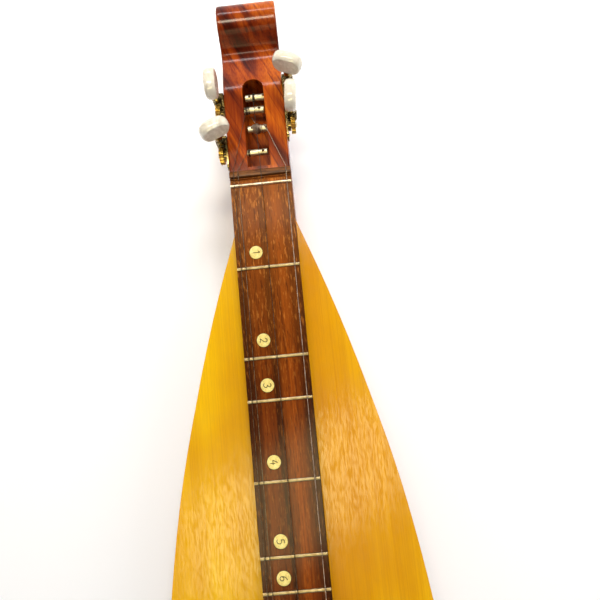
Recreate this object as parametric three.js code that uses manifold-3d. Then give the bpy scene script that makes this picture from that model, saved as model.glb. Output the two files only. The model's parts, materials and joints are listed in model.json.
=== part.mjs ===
// Mountain dulcimer (lap dulcimer) with a teardrop body, a slotted pegbox and open-geared tuners.
// Millimetres, +Z up, +Y towards the head, +X towards the bass side. The back plate lies on Z = 0.

import * as THREE from 'three';
import { mergeVertices } from 'three/addons/utils/BufferGeometryUtils.js';
import Module from 'manifold-3d';

const wasm = await Module();
wasm.setup();

// ---------------------------------------------------------------- driving dimensions

const GAP = 0.02; // glue line between pieces that sit face to face

const SCALE_LENGTH = 650;
const FRET_SEMITONES = [2, 4, 5, 7, 9, 10, 12, 14, 16, 17, 19, 21, 22, 24]; // diatonic fretting

// Lengthwise places are measured from the zero-fret end of the scale, negative towards the tail.
const HEAD_END = 133.46;
const NUT_FRONT = 1;
const NUT_BACK = -4;
const NUT_BAR_PLACE = -10;
const BODY_START = -34;
const STRUM_START = -562;
const STRUM_END = -638;
const BRIDGE_PLACE = -SCALE_LENGTH;
const TAIL_END = -690;
const PIN_REACH = -697.5;

const FRETBOARD_WIDTH = 44.5;
const FRETBOARD_HEIGHT = 17;
const PLATE_THICKNESS = 3;
const RIB_HEIGHT = 42;
const RIB_THICKNESS = 2.6;
const EDGE_OVERHANG = 1.5;
const BLOCK_FIT = 0.3; // between the ribs and the blocks inside them
const BODY_HEIGHT = RIB_HEIGHT + 2 * PLATE_THICKNESS;
const FRETBOARD_TOP = BODY_HEIGHT + FRETBOARD_HEIGHT;

const NUT_SEAT = 57;
const NUT_HEIGHT_OVER_BOARD = 1.6;
const BRIDGE_HEIGHT = 8;
const TAIL_ROUNDING = 2.5; // where the strings turn down over the fretboard's end
const FRET_HEIGHT = 1;
const FRET_CROWN_WIDTH = 2.2;
const FRET_TANG_WIDTH = 0.6;
const FRET_TANG_DEPTH = 1.8;
const BAR_HEIGHT = 1.4;
const BAR_WIDTH = 1.9;

const SLOT_START = 3.5;
const SLOT_ARCH_PLACE = 64.3;
const SLOT_FLOOR = 39;
const SLOT_HALF_AT_NUT = 8.5;
const SLOT_HALF_AT_ARCH = 7.75;
const HEAD_ROUNDING = 1.6;

const POST_RADIUS = 2.4;
const POST_SPIGOT_RADIUS = 1.9;
const POST_HEIGHT = FRETBOARD_TOP - 6;
const POST_FREE_END = 6.8;
const STRING_HOLE_RADIUS = 1;
const WALL_HOLE_RADIUS = 2.8;

const GEAR_TEETH = 14;
const GEAR_PITCH_RADIUS = 5.75;
const GEAR_TOOTH = 0.5;
const GEAR_THICKNESS = 3.2;
const GEAR_OFFSET = 27.4; // from the centre plane of the instrument
const WORM_MEAN_RADIUS = 2.9;
const WORM_TOOTH = 0.62;
const WORM_LENGTH = 8.8;
const MESH_CLEARANCE = 0.35;
const WORM_PITCH = (2 * Math.PI * GEAR_PITCH_RADIUS) / GEAR_TEETH;
const WORM_DISTANCE = GEAR_PITCH_RADIUS + WORM_MEAN_RADIUS + MESH_CLEARANCE;
const SHAFT_RADIUS = 1.6;
const TUNER_PLATE_THICKNESS = 1.2;
const EAR_INNER = 5.2;
const EAR_OUTER = 6.6;
const BUTTON_WIDTH = 21.5;
const BUTTON_HEIGHT = 15.5;
const BUTTON_THICKNESS = 8.2;
const BUTTON_BOTTOM = 15.5; // above the post's axis

// side +1 is the bass side; turn is how far the button stands turned from crosswise, in degrees
const TUNERS = [
	{ name: 'tuner_1', place: 60.1, side: 1, turn: -22 },
	{ name: 'tuner_2', place: 50.3, side: -1, turn: 90 },
	{ name: 'tuner_3', place: 35.3, side: 1, turn: 84 },
	{ name: 'tuner_4', place: 16.8, side: -1, turn: 22 },
];

const STRINGS = [
	{ name: 'string_melody_outer', radius: 0.15, tuner: 1, postX: -5.4, nutX: -18.9, bridgeX: -18.5, pinX: -18.6 },
	{ name: 'string_melody_inner', radius: 0.15, tuner: 3, postX: -6.2, nutX: -15.7, bridgeX: -15.2, pinX: -14.2 },
	{ name: 'string_middle', radius: 0.18, tuner: 0, postX: -0.6, nutX: 0.9, bridgeX: 0.2, pinX: 0 },
	{ name: 'string_bass', radius: 0.28, tuner: 2, postX: 6.2, nutX: 18.9, bridgeX: 17.8, pinX: 17.6 },
];

// ---------------------------------------------------------------- materials

function material(color, roughness, metalness = 0) {
	return new THREE.MeshStandardMaterial({ color, roughness, metalness });
}

const finishes = {
	topWood: () => material(0xe8b23a, 0.3),
	bodyWood: () => material(0x9a4f1c, 0.35),
	headWood: () => material(0xa8501a, 0.25),
	boardWood: () => material(0x5a2c1c, 0.5),
	nutWood: () => material(0x7a5530, 0.5),
	innerWood: () => material(0xd9bb86, 0.7),
	nickel: () => material(0xc8c4b4, 0.3, 1),
	brass: () => material(0xc9a03c, 0.3, 1),
	steel: () => material(0x8d8a84, 0.35, 1),
	pearl: () => material(0xf0ebe2, 0.2),
	bronze: () => material(0xb98a5c, 0.35, 1),
};

// ---------------------------------------------------------------- geometry helpers

function toSolid(geometry) {
	const bare = geometry.clone();
	bare.deleteAttribute('normal');
	bare.deleteAttribute('uv');
	const merged = mergeVertices(bare, 1e-4);
	const vertProperties = new Float32Array(merged.attributes.position.array);
	const triVerts = new Uint32Array(merged.index.array);
	return new wasm.Manifold(new wasm.Mesh({ numProp: 3, vertProperties, triVerts }));
}

function toGeometry(solid) {
	const { vertProperties, triVerts } = solid.getMesh();
	const geometry = new THREE.BufferGeometry();
	geometry.setAttribute('position', new THREE.BufferAttribute(new Float32Array(vertProperties), 3));
	geometry.setIndex(new THREE.BufferAttribute(new Uint32Array(triVerts), 1));
	geometry.computeVertexNormals();
	return geometry;
}

function join(first, ...others) {
	return toGeometry(others.reduce((solid, other) => solid.add(toSolid(other)), toSolid(first)));
}

function cut(body, ...tools) {
	return toGeometry(tools.reduce((solid, tool) => solid.subtract(toSolid(tool)), toSolid(body)));
}

// A shape drawn as (Y, Z), extruded along X from x0 to x1.
function extrudeAcross(shape, x0, x1, options = {}) {
	const geometry = new THREE.ExtrudeGeometry(shape, { depth: x1 - x0, bevelEnabled: false, ...options });
	const axes = [new THREE.Vector3(0, 1, 0), new THREE.Vector3(0, 0, 1), new THREE.Vector3(1, 0, 0)];
	geometry.applyMatrix4(new THREE.Matrix4().makeBasis(...axes));
	return geometry.translate(x0, 0, 0);
}

// A shape drawn as (X, Y), extruded along Z from z0 to z1.
function extrudeUp(shape, z0, z1, options = {}) {
	const geometry = new THREE.ExtrudeGeometry(shape, { depth: z1 - z0, bevelEnabled: false, ...options });
	return geometry.translate(0, 0, z0);
}

function shapeFrom(points) {
	return new THREE.Shape(points.map(([x, y]) => new THREE.Vector2(x, y)));
}

function box(x0, x1, y0, y1, z0, z1) {
	const geometry = new THREE.BoxGeometry(x1 - x0, y1 - y0, z1 - z0);
	return geometry.translate((x0 + x1) / 2, (y0 + y1) / 2, (z0 + z1) / 2);
}

// A turned piece: profile points are [radius, distance along the axis], from axis to axis.
function turned(profile, segments = 20) {
	return new THREE.LatheGeometry(profile.map(([r, h]) => new THREE.Vector2(r, h)), segments);
}

function alongX(geometry, side = 1) {
	return geometry.rotateZ((-side * Math.PI) / 2);
}

function alongZ(geometry) {
	return geometry.rotateX(Math.PI / 2);
}

function rod(radius, start, end, segments = 20) {
	return turned([[0, start], [radius, start], [radius, end], [0, end]], segments);
}

function place(name, geometry, finish, x = 0, y = 0, z = 0) {
	const mesh = new THREE.Mesh(geometry, finish);
	mesh.name = name;
	mesh.position.set(x, y, z);
	return mesh;
}

// ---------------------------------------------------------------- teardrop outline

const OUTLINE = new THREE.SplineCurve([
	new THREE.Vector2(BODY_START, FRETBOARD_WIDTH / 2),
	new THREE.Vector2(-90, 41.5),
	new THREE.Vector2(-150, 59),
	new THREE.Vector2(-230, 78.2),
	new THREE.Vector2(-320, 91.5),
	new THREE.Vector2(-405, 96.5),
	new THREE.Vector2(-500, 92),
	new THREE.Vector2(-580, 78),
	new THREE.Vector2(-640, 57),
	new THREE.Vector2(-678, 37),
	new THREE.Vector2(TAIL_END, 27),
]);
const OUTLINE_DETAIL = OUTLINE.getPoints(600);
const STATIONS = OUTLINE.getSpacedPoints(36).map((point) => point.x);

function outlineWidth(y) {
	const next = Math.max(1, OUTLINE_DETAIL.findIndex((point) => point.x <= y));
	const a = OUTLINE_DETAIL[next - 1];
	const b = OUTLINE_DETAIL[next];
	return a.y + ((b.y - a.y) * (y - a.x)) / (b.x - a.x);
}

// Half-width of the outline drawn in by a distance square to its edge.
function halfWidth(y, inset) {
	const step = 2;
	const ahead = Math.min(BODY_START - 0.01, y + step);
	const behind = Math.max(TAIL_END + 0.01, y - step);
	const slope = (outlineWidth(ahead) - outlineWidth(behind)) / (ahead - behind);
	return outlineWidth(y) - inset * Math.sqrt(1 + slope * slope);
}

function edgeLine(inset, from, to) {
	const between = STATIONS.filter((y) => y < from - 2 && y > to + 2);
	return [from, ...between, to].map((y) => [halfWidth(y, inset), y]);
}

function mirrored(line) {
	return [...line, ...line.map(([x, y]) => [-x, y]).reverse()];
}

const RIB_OUTSIDE = EDGE_OVERHANG;
const RIB_INSIDE = EDGE_OVERHANG + RIB_THICKNESS;

// ---------------------------------------------------------------- body

function heart(x, y, size) {
	const hole = new THREE.Shape();
	hole.moveTo(x, y - size * 0.55);
	hole.bezierCurveTo(x - size * 0.75, y, x - size * 0.6, y + size * 0.6, x, y + size * 0.28);
	hole.bezierCurveTo(x + size * 0.6, y + size * 0.6, x + size * 0.75, y, x, y - size * 0.55);
	return hole;
}

function soundboard() {
	const shape = shapeFrom(mirrored(edgeLine(0, BODY_START - GAP, TAIL_END)));
	const HOLE_SIZE = 30;
	const HOLE_PLACE = -430;
	const HOLE_SPREAD = 58;
	const bottom = BODY_HEIGHT - PLATE_THICKNESS;
	const plate = extrudeUp(shape, bottom, BODY_HEIGHT);
	const holes = [-HOLE_SPREAD, HOLE_SPREAD].map((x) => {
		return extrudeUp(heart(x, HOLE_PLACE, HOLE_SIZE), bottom - 5, BODY_HEIGHT + 5, { curveSegments: 8 });
	});
	return place('soundboard', cut(plate, ...holes), finishes.topWood());
}

function backPlate() {
	const shape = shapeFrom(mirrored(edgeLine(0, BODY_START - GAP, TAIL_END)));
	return place('back', extrudeUp(shape, 0, PLATE_THICKNESS), finishes.bodyWood());
}

function rib(name, side) {
	const outside = edgeLine(RIB_OUTSIDE, BODY_START - GAP, TAIL_END);
	const inside = edgeLine(RIB_INSIDE, BODY_START - GAP, TAIL_END).reverse();
	const shape = shapeFrom([...outside, ...inside].map(([x, y]) => [side * x, y]));
	const low = PLATE_THICKNESS + GAP;
	return place(name, extrudeUp(shape, low, low + RIB_HEIGHT - 2 * GAP), finishes.bodyWood());
}

function tailBlock() {
	const BLOCK_LENGTH = 34;
	const line = edgeLine(RIB_INSIDE + BLOCK_FIT, TAIL_END + BLOCK_LENGTH, TAIL_END);
	const low = PLATE_THICKNESS + GAP;
	const block = extrudeUp(shapeFrom(mirrored(line)), low, low + RIB_HEIGHT - 2 * GAP);
	const holes = STRINGS.map(({ pinX }) => {
		const hole = rod(PIN_RADIUS + 0.05, -PIN_DEPTH - 0.3, 5, 16).rotateX(Math.PI);
		return hole.translate(pinX, TAIL_END, PIN_HEIGHT);
	});
	return place('tail_block', cut(block, ...holes), finishes.innerWood());
}

// Cross braces: thin strips glued across the plates, tapered at both ends.
function brace(name, y, glueFace, direction) {
	const HEIGHT = 11;
	const WIDTH = 8;
	const TAPER = 22;
	const END_HEIGHT = 3;
	const half = halfWidth(y, RIB_INSIDE + 2) - 1;
	const base = glueFace + direction * GAP;
	const tip = glueFace + direction * HEIGHT;
	const low = glueFace + direction * END_HEIGHT;
	const profile = [[-half, base], [half, base], [half, low], [half - TAPER, tip], [TAPER - half, tip], [-half, low]];
	const geometry = extrudeUp(shapeFrom(profile), -WIDTH / 2, WIDTH / 2);
	return place(name, geometry.rotateX(Math.PI / 2), finishes.innerWood(), 0, y, 0);
}

const PIN_RADIUS = 1.1;
const PIN_HEIGHT = 40;
const PIN_DEPTH = 14;

function tailPin(name, x) {
	const reach = TAIL_END - PIN_REACH;
	const HEAD_RADIUS = 1.7;
	const HEAD_LENGTH = 1.4;
	const NECK_ROUNDING = 0.3;
	const profile = [
		[0, -PIN_DEPTH],
		[PIN_RADIUS, -PIN_DEPTH],
		[PIN_RADIUS, reach - HEAD_LENGTH - NECK_ROUNDING],
		[HEAD_RADIUS, reach - HEAD_LENGTH],
		[HEAD_RADIUS, reach - NECK_ROUNDING],
		[HEAD_RADIUS - NECK_ROUNDING, reach],
		[0, reach],
	];
	return place(name, turned(profile, 16).rotateX(Math.PI), finishes.nickel(), x, TAIL_END, PIN_HEIGHT);
}

// ---------------------------------------------------------------- head: heel, pegbox and scroll

// Side view of the pegbox and scroll as (Y, Z); it starts inside the heel.
function headProfile() {
	const shape = new THREE.Shape();
	shape.moveTo(NUT_BACK + 1, 0);
	shape.lineTo(NUT_FRONT, 0);
	shape.splineThru([
		new THREE.Vector2(22, 9),
		new THREE.Vector2(52, 23),
		new THREE.Vector2(82, 33),
		new THREE.Vector2(108, 37.5),
		new THREE.Vector2(125, 43),
		new THREE.Vector2(132.6, 54),
		new THREE.Vector2(132.8, 64.5),
		new THREE.Vector2(127.5, 70.2),
		new THREE.Vector2(119, 71.4),
		new THREE.Vector2(111.5, 69.4),
		new THREE.Vector2(106, 65),
		new THREE.Vector2(101, 60.9),
		new THREE.Vector2(96, 59.2),
		new THREE.Vector2(89.5, 59.5),
		new THREE.Vector2(82, 61.2),
		new THREE.Vector2(74, 63.3),
		new THREE.Vector2(67, 64.6),
		new THREE.Vector2(62, FRETBOARD_TOP),
	]);
	shape.lineTo(NUT_BACK + 1, FRETBOARD_TOP);
	return shape;
}

function slotShape() {
	const shape = new THREE.Shape();
	shape.moveTo(-SLOT_HALF_AT_NUT, SLOT_START);
	shape.lineTo(SLOT_HALF_AT_NUT, SLOT_START);
	shape.lineTo(SLOT_HALF_AT_ARCH, SLOT_ARCH_PLACE);
	shape.absarc(0, SLOT_ARCH_PLACE, SLOT_HALF_AT_ARCH, 0, Math.PI, false);
	return shape;
}

function head() {
	const half = FRETBOARD_WIDTH / 2;
	const TENON_LENGTH = 36;
	const bevel = {
		bevelEnabled: true,
		bevelSize: HEAD_ROUNDING,
		bevelThickness: HEAD_ROUNDING,
		bevelOffset: -HEAD_ROUNDING,
		bevelSegments: 2,
		curveSegments: 3,
	};
	const pegbox = extrudeAcross(headProfile(), HEAD_ROUNDING - half, half - HEAD_ROUNDING, bevel);
	const heel = box(-half, half, BODY_START, NUT_FRONT, 0, BODY_HEIGHT - GAP);
	const nutSeat = box(-half, half, NUT_BACK, NUT_FRONT, BODY_HEIGHT - 5, NUT_SEAT - GAP);
	const tenonLine = edgeLine(RIB_INSIDE + BLOCK_FIT, BODY_START - GAP, BODY_START - TENON_LENGTH);
	const tenonTop = BODY_HEIGHT - PLATE_THICKNESS - GAP;
	const tenon = extrudeUp(shapeFrom(mirrored(tenonLine)), PLATE_THICKNESS + GAP, tenonTop);
	tenon.applyMatrix4(new THREE.Matrix4().makeTranslation(0, 2 * GAP, 0));
	const whole = join(pegbox, heel, nutSeat, tenon);
	const nutRoom = box(-40, 40, NUT_BACK - 20, NUT_FRONT, NUT_SEAT - GAP, 90);
	const slot = extrudeUp(slotShape(), SLOT_FLOOR, 90, { curveSegments: 8 });
	const postHoles = TUNERS.map((tuner) => {
		const hole = alongX(rod(WALL_HOLE_RADIUS, 0, half + 5), tuner.side);
		return hole.translate(0, tuner.place, POST_HEIGHT);
	});
	return place('head', cut(whole, nutRoom, slot, ...postHoles), finishes.headWood());
}

// ---------------------------------------------------------------- fretboard, frets, nut, bridge

function fretPlace(semitones) {
	return -SCALE_LENGTH * (1 - 2 ** (-semitones / 12));
}

const FRET_PLACES = FRET_SEMITONES.map(fretPlace);

function fretboard() {
	const low = BODY_HEIGHT + GAP;
	const top = FRETBOARD_TOP;
	const STRUM_DEPTH = 7;
	const STRUM_RAMP = 18;
	const SAW_CUT = 1.2;
	const SAW_CUT_PLACE = -5.2;
	const start = NUT_BACK - GAP;
	const shape = new THREE.Shape();
	shape.moveTo(start, top);
	shape.lineTo(start, low);
	shape.lineTo(TAIL_END, low);
	shape.lineTo(TAIL_END, top - TAIL_ROUNDING);
	shape.quadraticCurveTo(TAIL_END, top, TAIL_END + TAIL_ROUNDING, top);
	shape.lineTo(STRUM_END, top);
	shape.bezierCurveTo(STRUM_END + 9, top, STRUM_END + 9, top - STRUM_DEPTH, STRUM_END + STRUM_RAMP, top - STRUM_DEPTH);
	shape.lineTo(STRUM_START - STRUM_RAMP, top - STRUM_DEPTH);
	shape.bezierCurveTo(STRUM_START - 9, top - STRUM_DEPTH, STRUM_START - 9, top, STRUM_START, top);
	const sawCuts = [...FRET_PLACES].reverse().map((y) => [y, FRET_TANG_WIDTH + 0.1, FRET_TANG_DEPTH + 0.1]);
	sawCuts.push([NUT_BAR_PLACE, BAR_WIDTH / 2 + 0.1, FRET_TANG_DEPTH + 0.1]);
	sawCuts.push([SAW_CUT_PLACE - SAW_CUT / 2, SAW_CUT, 1]);
	for (const [y, width, depth] of sawCuts) {
		shape.lineTo(y - width / 2, top);
		shape.lineTo(y - width / 2, top - depth);
		shape.lineTo(y + width / 2, top - depth);
		shape.lineTo(y + width / 2, top);
	}
	const half = FRETBOARD_WIDTH / 2;
	return place('fretboard', extrudeAcross(shape, -half, half, { curveSegments: 6 }), finishes.boardWood());
}

// Fret wire: a round crown on a narrow tang, drawn about the fretboard's surface.
function wireProfile(width, height, tang) {
	const half = width / 2;
	const shape = new THREE.Shape();
	shape.moveTo(-tang / 2, -FRET_TANG_DEPTH);
	shape.lineTo(tang / 2, -FRET_TANG_DEPTH);
	shape.lineTo(tang / 2, GAP);
	shape.lineTo(half, GAP);
	shape.bezierCurveTo(half, height * 0.75, half * 0.6, height, 0, height);
	shape.bezierCurveTo(-half * 0.6, height, -half, height * 0.75, -half, GAP);
	shape.lineTo(-tang / 2, GAP);
	return shape;
}

function wire(name, y, width, height, tang) {
	const half = FRETBOARD_WIDTH / 2 - 0.2;
	const geometry = extrudeAcross(wireProfile(width, height, tang), -half, half, { curveSegments: 3 });
	return place(name, geometry, finishes.nickel(), 0, y, FRETBOARD_TOP);
}

// Notches a little wider than the strings, cut into the top of the nut or the bridge.
function notches(xOf, y, stringLine) {
	const HALF_LENGTH = 4;
	const CLEARANCE = 0.3;
	return STRINGS.map((string) => {
		const half = string.radius + CLEARANCE;
		const x = xOf(string);
		const bottom = stringLine - half;
		return box(x - half, x + half, y - HALF_LENGTH, y + HALF_LENGTH, bottom, bottom + 10);
	});
}

const NUT_LINE = FRETBOARD_TOP + NUT_HEIGHT_OVER_BOARD;
const BRIDGE_LINE = FRETBOARD_TOP + BRIDGE_HEIGHT;

function nut() {
	const depth = NUT_FRONT - NUT_BACK - 2 * GAP;
	const front = NUT_FRONT - GAP;
	const back = front - depth;
	const top = NUT_LINE + 0.3;
	const shape = new THREE.Shape();
	shape.moveTo(back, NUT_SEAT);
	shape.lineTo(front, NUT_SEAT);
	shape.lineTo(front, FRETBOARD_TOP);
	shape.quadraticCurveTo(front, top, front - depth / 2, top);
	shape.lineTo(back + 0.6, top);
	shape.quadraticCurveTo(back, top, back, top - 0.6);
	const half = FRETBOARD_WIDTH / 2 - 0.1;
	const block = extrudeAcross(shape, -half, half, { curveSegments: 3 });
	const middle = (NUT_FRONT + NUT_BACK) / 2;
	const cuts = notches((string) => string.nutX, middle, NUT_LINE);
	return place('nut', cut(block, ...cuts), finishes.nutWood());
}

function bridge() {
	const BASE = 7.5;
	const CREST = 2;
	const HALF_LENGTH = 21;
	const FOOT = 2.5;
	const low = FRETBOARD_TOP + GAP;
	const top = BRIDGE_LINE + 0.4;
	const shape = shapeFrom([
		[BRIDGE_PLACE - BASE / 2, low],
		[BRIDGE_PLACE + BASE / 2, low],
		[BRIDGE_PLACE + BASE / 2, low + FOOT],
		[BRIDGE_PLACE + CREST / 2, top],
		[BRIDGE_PLACE - CREST / 2, top],
		[BRIDGE_PLACE - BASE / 2, low + FOOT],
	]);
	const block = extrudeAcross(shape, -HALF_LENGTH, HALF_LENGTH);
	const cuts = notches((string) => string.bridgeX, BRIDGE_PLACE, BRIDGE_LINE);
	return place('bridge', cut(block, ...cuts), finishes.nutWood());
}

// ---------------------------------------------------------------- strings

// A taut string: straight runs between the points where it bends.
class Route extends THREE.Curve {
	constructor(points) {
		super();
		this.points = points.map((point) => new THREE.Vector3(...point));
	}
	getPoint(t) {
		const last = this.points.length - 1;
		const index = Math.min(last - 1, Math.floor(t * last + 1e-9));
		return this.points[index].clone().lerp(this.points[index + 1], t * last - index);
	}
	getPointAt(u) {
		return this.getPoint(u);
	}
	getTangentAt(u) {
		const last = this.points.length - 1;
		const index = Math.round(u * last);
		const before = this.points[Math.max(0, index - 1)];
		const after = this.points[Math.min(last, index + 1)];
		const here = this.points[index];
		const arriving = index > 0 ? here.clone().sub(before).normalize() : new THREE.Vector3();
		const leaving = index < last ? after.clone().sub(here).normalize() : new THREE.Vector3();
		return arriving.add(leaving).normalize();
	}
}

// Where a string leaves its post: just above the wire wound on the post.
function postLine(radius) {
	return POST_HEIGHT + POST_RADIUS + radius + 0.35;
}

function stringRoute({ radius, tuner, postX, nutX, bridgeX, pinX }) {
	const from = [postX, TUNERS[tuner].place, postLine(radius)];
	const nutPlace = NUT_FRONT + 0.3;
	const atNut = [nutX, nutPlace, NUT_LINE];
	const points = [from];
	const wallX = Math.sign(postX) * SLOT_HALF_AT_ARCH;
	if (Math.abs(nutX) > SLOT_HALF_AT_NUT) {
		const share = (wallX - postX) / (nutX - postX);
		const y = from[1] + share * (nutPlace - from[1]);
		points.push([wallX, y, FRETBOARD_TOP + radius + 0.4]);
	}
	points.push(atNut);
	points.push([nutX, NUT_BAR_PLACE, NUT_LINE + radius * 0.5 + 0.05]);
	points.push([bridgeX, BRIDGE_PLACE, BRIDGE_LINE]);
	const lift = radius + 0.25;
	const slantLift = lift * Math.SQRT1_2;
	const middle = TAIL_ROUNDING / 4;
	points.push([pinX, TAIL_END + TAIL_ROUNDING, FRETBOARD_TOP + lift]);
	points.push([pinX, TAIL_END + middle - slantLift, FRETBOARD_TOP - middle + slantLift]);
	points.push([pinX, TAIL_END - lift, FRETBOARD_TOP - TAIL_ROUNDING]);
	points.push([pinX, TAIL_END - lift, PIN_HEIGHT + PIN_RADIUS + radius + 0.4]);
	return points;
}

function string(spec) {
	const points = stringRoute(spec);
	const shape = new THREE.Shape();
	shape.absarc(0, 0, spec.radius, 0, 2 * Math.PI);
	const options = { extrudePath: new Route(points), steps: points.length - 1, curveSegments: 4, bevelEnabled: false };
	const finish = spec.name === 'string_bass' ? finishes.bronze() : finishes.steel();
	return place(spec.name, new THREE.ExtrudeGeometry(shape, options), finish);
}

// ---------------------------------------------------------------- tuners

// Backing plate with two ears that carry the worm, and a bush around the post.
function tunerPlate({ side }) {
	const inner = FRETBOARD_WIDTH / 2 + GAP;
	const outer = inner + TUNER_PLATE_THICKNESS;
	const LENGTH_BACK = 12.3;
	const LENGTH_FRONT = 12.2;
	const LOBE = 4;
	const outline = new THREE.Shape();
	outline.moveTo(LENGTH_FRONT, EAR_OUTER);
	outline.lineTo(WORM_DISTANCE - 4, EAR_OUTER);
	outline.lineTo(3, 4.8);
	outline.lineTo(LOBE - LENGTH_BACK, LOBE + 0.5);
	outline.absarc(LOBE - LENGTH_BACK, 0.5, LOBE, Math.PI / 2, 1.5 * Math.PI, false);
	outline.lineTo(1, -5);
	outline.lineTo(LENGTH_FRONT - 2 * LOBE, -13);
	outline.absarc(LENGTH_FRONT - LOBE, -13, LOBE, Math.PI, 2 * Math.PI, false);
	const [x0, x1] = side > 0 ? [inner, outer] : [-outer, -inner];
	const base = extrudeAcross(outline, x0, x1, { curveSegments: 4 });

	const ear = new THREE.Shape();
	const EAR_RADIUS = 3.2;
	ear.moveTo(side * (inner + 0.4), WORM_DISTANCE - EAR_RADIUS);
	ear.lineTo(side * GEAR_OFFSET, WORM_DISTANCE - EAR_RADIUS);
	const [from, to, clockwise] = side > 0 ? [-0.5, 0.5, false] : [-0.5, -1.5, true];
	ear.absarc(side * GEAR_OFFSET, WORM_DISTANCE, EAR_RADIUS, from * Math.PI, to * Math.PI, clockwise);
	ear.lineTo(side * (inner + 0.4), WORM_DISTANCE + EAR_RADIUS);
	const hole = new THREE.Path();
	hole.absarc(side * GEAR_OFFSET, WORM_DISTANCE, SHAFT_RADIUS + 0.12, 0, 2 * Math.PI);
	ear.holes.push(hole);
	const upper = extrudeUp(ear, EAR_INNER, EAR_OUTER, { curveSegments: 8 });
	const lower = extrudeUp(ear, -EAR_OUTER, -EAR_INNER, { curveSegments: 8 });

	const bushEnd = GEAR_OFFSET - GEAR_THICKNESS / 2 - 0.3;
	const bush = alongX(rod(POST_RADIUS + 1.7, inner + 0.4, bushEnd, 20), side);
	const bore = alongX(rod(POST_RADIUS + 0.15, 0, 40), side);
	return cut(join(base, upper, lower, bush), bore);
}

// Roller post with two string holes and a spigot for the gear.
function tunerPost({ side }) {
	const gearInner = GEAR_OFFSET - GEAR_THICKNESS / 2 - 0.1;
	const gearOuter = GEAR_OFFSET + GEAR_THICKNESS / 2;
	const END_ROUNDING = 0.4;
	const profile = [
		[0, -POST_FREE_END],
		[POST_RADIUS - END_ROUNDING, -POST_FREE_END],
		[POST_RADIUS, END_ROUNDING - POST_FREE_END],
		[POST_RADIUS, gearInner],
		[POST_SPIGOT_RADIUS, gearInner],
		[POST_SPIGOT_RADIUS, gearOuter],
		[0, gearOuter],
	];
	const post = alongX(turned(profile), side);
	const NEAR_END = -3.3;
	const NEAR_WALL = 7.2;
	const holes = [NEAR_END, NEAR_WALL].map((x) => {
		return alongZ(rod(STRING_HOLE_RADIUS, -5, 5, 12)).translate(side * x, 0, 0);
	});
	return cut(post, ...holes);
}

// Worm wheel: round teeth, slanted to follow the worm's thread.
function tunerGear() {
	const POINTS_PER_TOOTH = 5;
	const outline = [];
	for (let i = 0; i < GEAR_TEETH * POINTS_PER_TOOTH; i++) {
		const angle = (2 * Math.PI * i) / (GEAR_TEETH * POINTS_PER_TOOTH);
		const radius = GEAR_PITCH_RADIUS + GEAR_TOOTH * Math.sin(GEAR_TEETH * angle);
		outline.push([radius * Math.cos(angle), radius * Math.sin(angle)]);
	}
	const shape = shapeFrom(outline);
	const hole = new THREE.Path();
	hole.absarc(0, 0, POST_SPIGOT_RADIUS + 0.04, 0, 2 * Math.PI);
	shape.holes.push(hole);
	const half = GEAR_THICKNESS / 2;
	const geometry = extrudeAcross(shape, -half, half, { steps: 1, curveSegments: 10 });
	const leadSlope = WORM_PITCH / (2 * Math.PI * WORM_MEAN_RADIUS);
	return twisted(geometry, 'x', leadSlope / GEAR_PITCH_RADIUS);
}

function twisted(geometry, axis, turnPerMm) {
	const position = geometry.attributes.position;
	const axisVector = new THREE.Vector3(axis === 'x' ? 1 : 0, 0, axis === 'z' ? 1 : 0);
	const point = new THREE.Vector3();
	for (let i = 0; i < position.count; i++) {
		point.fromBufferAttribute(position, i);
		point.applyAxisAngle(axisVector, turnPerMm * point[axis]);
		position.setXYZ(i, point.x, point.y, point.z);
	}
	return geometry;
}

// Worm shaft: thread between the ears, a turned ferrule above and a tang inside the button.
function tunerWorm() {
	const section = new THREE.Shape();
	section.absarc(WORM_TOOTH, 0, WORM_MEAN_RADIUS, 0, 2 * Math.PI);
	const steps = Math.round((WORM_LENGTH / WORM_PITCH) * 9);
	const half = WORM_LENGTH / 2;
	const thread = twisted(extrudeUp(section, -half, half, { steps, curveSegments: 5 }), 'z', (2 * Math.PI) / WORM_PITCH);
	const CLEAR = 0.15;
	const shaft = turned([
		[0, -EAR_OUTER - 1.2],
		[1.9, -EAR_OUTER - 1.2],
		[2.1, -EAR_OUTER - 0.8],
		[2.1, -EAR_OUTER - CLEAR],
		[SHAFT_RADIUS, -EAR_OUTER - CLEAR],
		[SHAFT_RADIUS, EAR_OUTER + CLEAR],
		[3.1, EAR_OUTER + CLEAR],
		[3.1, EAR_OUTER + 0.9],
		[2.3, EAR_OUTER + 1.5],
		[2.1, EAR_OUTER + 2.6],
		[3.0, EAR_OUTER + 3.3],
		[3.3, EAR_OUTER + 4.2],
		[3.3, BUTTON_BOTTOM - 0.7],
		[2.9, BUTTON_BOTTOM - GAP],
		[1.4, BUTTON_BOTTOM - GAP],
		[1.4, BUTTON_BOTTOM + 8],
		[0, BUTTON_BOTTOM + 8],
	], 12);
	return join(thread, alongZ(shaft));
}

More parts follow.
